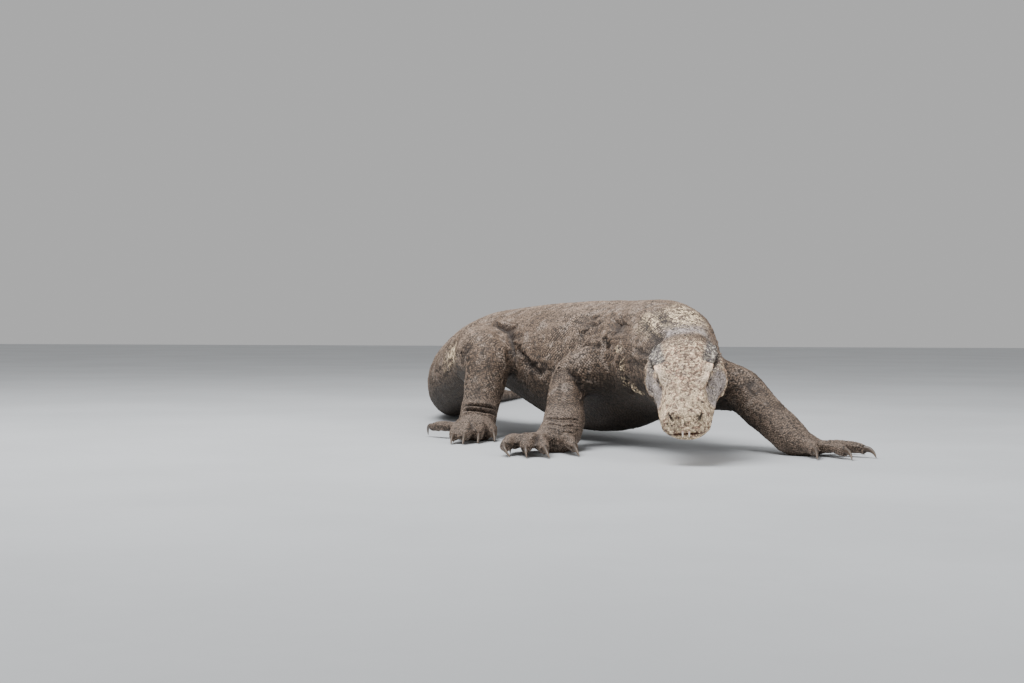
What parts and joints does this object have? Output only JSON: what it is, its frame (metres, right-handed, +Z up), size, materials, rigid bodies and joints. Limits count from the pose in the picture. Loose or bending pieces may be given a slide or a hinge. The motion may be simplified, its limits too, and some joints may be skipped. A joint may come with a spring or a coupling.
{
  "type": "komodo dragon",
  "caption": "Komodo dragon in mid stride, head held low, a fore leg reaching out to its left, tail trailing on the floor, as a still life-size model with claws and teeth",
  "frame": {"origin": "middle of the whole animal's footprint box, on the floor it stands on", "axes": "+Z up; the animal faces -Y with its snout, its left side is towards +X, and the tail trails towards +Y"},
  "size_m": [0.7458, 2.28, 0.2497],
  "materials": {
    "body_hide": "dusty grey-brown hide with raised round scales, paler on their tips, dark between them",
    "head_hide": "mottled cream and grey hide with small scales and smooth pale brows",
    "claw_horn": "dark worn horn, dusted with mud",
    "eye_surface": "wet dark brown",
    "tooth_enamel": "ivory tinged with pink"
  },
  "bodies": {
    "root": {"belly": "body_hide", "chest": "body_hide", "claw_fore_left_1": "claw_horn", "claw_fore_left_2": "claw_horn", "claw_fore_left_3": "claw_horn", "claw_fore_left_4": "claw_horn", "claw_fore_left_5": "claw_horn", "claw_fore_right_1": "claw_horn", "claw_fore_right_2": "claw_horn", "claw_fore_right_3": "claw_horn", "claw_fore_right_4": "claw_horn", "claw_fore_right_5": "claw_horn", "claw_hind_left_1": "claw_horn", "claw_hind_left_2": "claw_horn", "claw_hind_left_3": "claw_horn", "claw_hind_left_4": "claw_horn", "claw_hind_left_5": "claw_horn", "claw_hind_right_1": "claw_horn", "claw_hind_right_2": "claw_horn", "claw_hind_right_3": "claw_horn", "claw_hind_right_4": "claw_horn", "claw_hind_right_5": "claw_horn", "eye_left": "eye_surface", "eye_right": "eye_surface", "foot_left": "body_hide", "foot_right": "body_hide", "forearm_left": "body_hide", "forearm_right": "body_hide", "hand_left": "body_hide", "hand_right": "body_hide", "head": "head_hide", "hips": "body_hide", "lower_jaw": "head_hide", "neck": "body_hide", "shank_left": "body_hide", "shank_right": "body_hide", "tail_1": "body_hide", "tail_2": "body_hide", "tail_3": "body_hide", "tail_4": "body_hide", "thigh_left": "body_hide", "thigh_right": "body_hide", "tooth_left": "tooth_enamel", "tooth_right": "tooth_enamel", "upper_arm_left": "body_hide", "upper_arm_right": "body_hide"}
  },
  "joints": []
}
